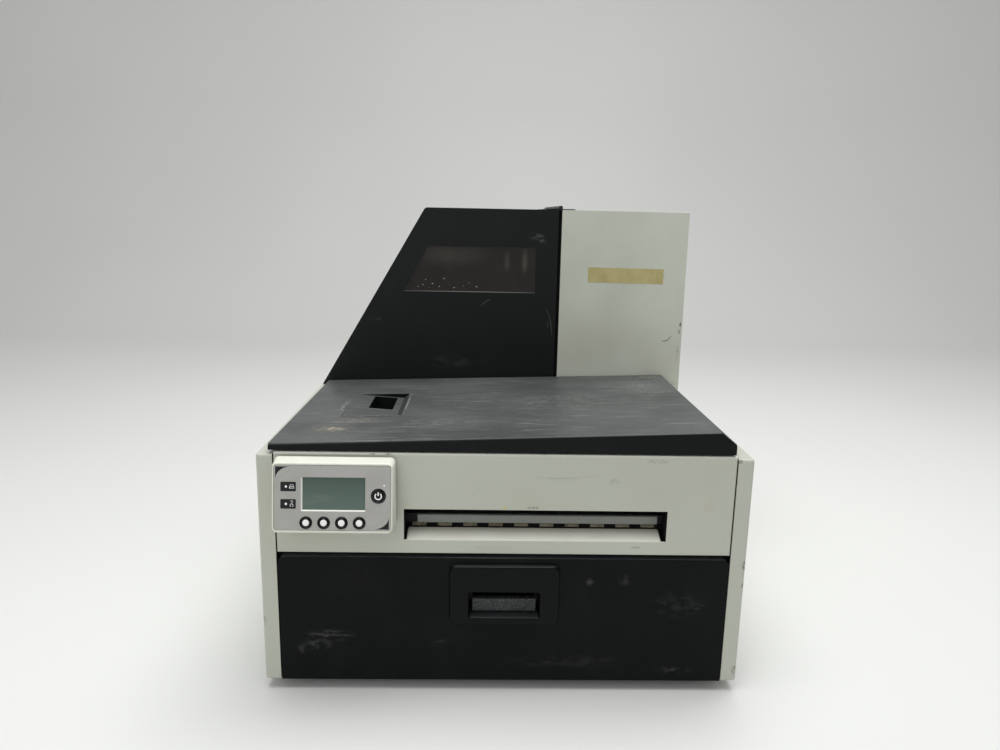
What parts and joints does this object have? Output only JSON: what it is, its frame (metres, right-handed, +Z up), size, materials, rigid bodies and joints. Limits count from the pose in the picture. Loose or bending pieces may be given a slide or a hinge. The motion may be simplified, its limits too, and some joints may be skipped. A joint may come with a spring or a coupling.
{
  "type": "color label printer",
  "caption": "Desktop color label printer: steel case with a side-hinged lid, drop-down ink door, tilted control panel, exit slot and a roll tower with a lift-up cover.",
  "frame": {"origin": "centre of the bounding box on the surface it stands on", "axes": "+Z up, -Y the front with the label exit, +X to the right seen from the front"},
  "size_m": [0.44, 0.5264, 0.4484],
  "materials": {
    "white_paint": "satin powder coat",
    "zinc": "zinc plated",
    "dark_steel": "black zinc",
    "case_black": "fine grain",
    "gloss_black": "smooth",
    "foot_rubber": "matt",
    "roller_rubber": "matt",
    "exit_rubber": "tan tyres on a black core",
    "panel_ivory": "smooth moulded",
    "overlay_grey": "printed polyester film",
    "display": "clear over a green-grey display",
    "button_black": "moulded",
    "guide_grey": "moulded",
    "motor_metal": "black lacquer",
    "head_black": "moulded",
    "lever_blue": "moulded",
    "ink_black": "moulded",
    "ink_cyan": "moulded",
    "ink_magenta": "moulded",
    "ink_yellow": "moulded",
    "tube_clear": "translucent tube",
    "circuit_board": "solder mask",
    "fan_black": "moulded",
    "smoked_window": "smoked clear plastic"
  },
  "bodies": {
    "root": {"base_pan": "zinc", "left_side_panel": "white_paint", "right_side_panel": "white_paint", "front_panel": "white_paint", "rear_panel": "white_paint", "front_frame": "dark_steel", "deck": "zinc", "engine_frame": "zinc", "feet": "foot_rubber", "panel_screws": "dark_steel", "hinge_pins": "dark_steel", "lid_hinge": "dark_steel", "control_back": "gloss_black", "control_housing": "panel_ivory", "control_overlay": "overlay_grey", "lcd_window": "display", "exit_guide": "guide_grey", "feed_motor": "motor_metal", "drive_belt": "roller_rubber", "ink_bay": "dark_steel", "ink_manifold": "case_black", "ink_tubes": "tube_clear", "main_board": "circuit_board", "power_supply": "zinc", "fan_frame": "fan_black", "power_inlet": "gloss_black", "tower_housing": "white_paint", "roll_bay": "dark_steel", "spindle_motor": "motor_metal"},
    "lid": {"top_lid": "case_black"},
    "cover": {"tower_cover": "case_black", "cover_window": "smoked_window"},
    "door": {"front_door": "case_black", "latch_bezel": "gloss_black"},
    "door_paddle": {"latch_paddle": "gloss_black"},
    "door_bolt": {"latch_bolt": "zinc"},
    "menu_1": {"menu_button_1": "button_black"},
    "menu_2": {"menu_button_2": "button_black"},
    "menu_3": {"menu_button_3": "button_black"},
    "menu_4": {"menu_button_4": "button_black"},
    "power_key": {"power_button": "button_black"},
    "infeed": {"infeed_roller": "roller_rubber"},
    "pinch": {"pinch_roller": "roller_rubber"},
    "exit": {"exit_roller": "exit_rubber"},
    "wheels": {"exit_wheels": "case_black"},
    "feed_pulley": {"motor_pulley": "zinc"},
    "drum": {"maintenance_drum": "head_black"},
    "head": {"printhead_carrier": "case_black", "printhead": "head_black"},
    "head_lever": {"printhead_lever": "lever_blue"},
    "tank_1": {"ink_tank_1": "ink_black"},
    "tank_2": {"ink_tank_2": "ink_black"},
    "tank_3": {"ink_tank_3": "ink_cyan"},
    "tank_4": {"ink_tank_4": "ink_magenta"},
    "tank_5": {"ink_tank_5": "ink_yellow"},
    "fan": {"fan_rotor": "fan_black"},
    "rocker": {"power_switch": "gloss_black"},
    "spindle": {"roll_spindle": "case_black"},
    "guide": {"roll_guide": "case_black"}
  },
  "joints": [
    {"name": "lid_hinge", "type": "hinge", "parent": "root", "child": "lid", "pos_m": [0.2005, -0.10204, 0.2375], "axis": [0, 1, 0], "range_deg": [0, 88]},
    {"name": "cover_hinge", "type": "hinge", "parent": "root", "child": "cover", "pos_m": [0.067, 0.14996, 0.446], "axis": [0, 1, 0], "range_deg": [0, 110]},
    {"name": "door_hinge", "type": "hinge", "parent": "root", "child": "door", "pos_m": [0, -0.23104, 0.016], "axis": [1, 0, 0], "range_deg": [0, 90]},
    {"name": "paddle_pivot", "type": "hinge", "parent": "door", "child": "door_paddle", "pos_m": [0, -0.23204, 0.0805], "axis": [1, 0, 0], "range_deg": [0, 25], "stiffness_Nm_per_rad": 0.05, "springref_deg": -11.46},
    {"name": "bolt_slide", "type": "slide", "parent": "door", "child": "door_bolt", "axis": [0, 0, -1], "range_m": [0, 0.005]},
    {"name": "menu_1_press", "type": "slide", "parent": "root", "child": "menu_1", "axis": [0, 0.9872, -0.1592], "range_m": [0, 0.001], "stiffness_N_per_m": 400, "springref_m": -0.001},
    {"name": "menu_2_press", "type": "slide", "parent": "root", "child": "menu_2", "axis": [0, 0.9872, -0.1592], "range_m": [0, 0.001], "stiffness_N_per_m": 400, "springref_m": -0.001},
    {"name": "menu_3_press", "type": "slide", "parent": "root", "child": "menu_3", "axis": [0, 0.9872, -0.1592], "range_m": [0, 0.001], "stiffness_N_per_m": 400, "springref_m": -0.001},
    {"name": "menu_4_press", "type": "slide", "parent": "root", "child": "menu_4", "axis": [0, 0.9872, -0.1592], "range_m": [0, 0.001], "stiffness_N_per_m": 400, "springref_m": -0.001},
    {"name": "power_press", "type": "slide", "parent": "root", "child": "power_key", "axis": [0, 0.9872, -0.1592], "range_m": [0, 0.001], "stiffness_N_per_m": 400, "springref_m": -0.001},
    {"name": "infeed_spin", "type": "hinge", "parent": "root", "child": "infeed", "pos_m": [0.027, -0.04804, 0.149], "axis": [1, 0, 0], "continuous": true},
    {"name": "pinch_spin", "type": "hinge", "parent": "root", "child": "pinch", "pos_m": [0.027, -0.04804, 0.1663], "axis": [1, 0, 0], "continuous": true},
    {"name": "exit_spin", "type": "hinge", "parent": "root", "child": "exit", "pos_m": [0.027, -0.20704, 0.149], "axis": [1, 0, 0], "continuous": true},
    {"name": "wheels_spin", "type": "hinge", "parent": "root", "child": "wheels", "pos_m": [0.027, -0.20704, 0.1653], "axis": [1, 0, 0], "continuous": true},
    {"name": "motor_spin", "type": "hinge", "parent": "root", "child": "feed_pulley", "pos_m": [0.164, -0.00204, 0.166], "axis": [1, 0, 0], "continuous": true},
    {"name": "drum_turn", "type": "hinge", "parent": "root", "child": "drum", "pos_m": [0.027, -0.10804, 0.1403], "axis": [1, 0, 0], "range_deg": [0, 240]},
    {"name": "head_lift", "type": "slide", "parent": "root", "child": "head", "axis": [0, 0, 1], "range_m": [0, 0.006]},
    {"name": "lever_swing", "type": "hinge", "parent": "head", "child": "head_lever", "pos_m": [0.128, -0.10804, 0.213], "axis": [0, 0, 1], "range_deg": [0, 40]},
    {"name": "tank_1_slide", "type": "slide", "parent": "root", "child": "tank_1", "axis": [0, -1, 0], "range_m": [0, 0.012]},
    {"name": "tank_2_slide", "type": "slide", "parent": "root", "child": "tank_2", "axis": [0, -1, 0], "range_m": [0, 0.012]},
    {"name": "tank_3_slide", "type": "slide", "parent": "root", "child": "tank_3", "axis": [0, -1, 0], "range_m": [0, 0.012]},
    {"name": "tank_4_slide", "type": "slide", "parent": "root", "child": "tank_4", "axis": [0, -1, 0], "range_m": [0, 0.012]},
    {"name": "tank_5_slide", "type": "slide", "parent": "root", "child": "tank_5", "axis": [0, -1, 0], "range_m": [0, 0.012]},
    {"name": "fan_spin", "type": "hinge", "parent": "root", "child": "fan", "pos_m": [0.02, 0.24696, 0.11], "axis": [0, 1, 0], "continuous": true},
    {"name": "switch_rock", "type": "hinge", "parent": "root", "child": "rocker", "pos_m": [0.18, 0.25696, 0.117], "axis": [1, 0, 0], "range_deg": [0, 16]},
    {"name": "spindle_spin", "type": "hinge", "parent": "root", "child": "spindle", "pos_m": [0.027, 0.14996, 0.335], "axis": [1, 0, 0], "continuous": true},
    {"name": "guide_slide", "type": "slide", "parent": "spindle", "child": "guide", "axis": [1, 0, 0], "range_m": [0, 0.18]}
  ],
  "couplings": [
    {"joint": "bolt_slide", "follows": "paddle_pivot", "m_per_rad": 0.01145},
    {"joint": "pinch_spin", "follows": "infeed_spin", "ratio": -1.125},
    {"joint": "exit_spin", "follows": "infeed_spin", "ratio": 1},
    {"joint": "wheels_spin", "follows": "infeed_spin", "ratio": -1.2857},
    {"joint": "motor_spin", "follows": "infeed_spin", "ratio": 1.3333}
  ]
}
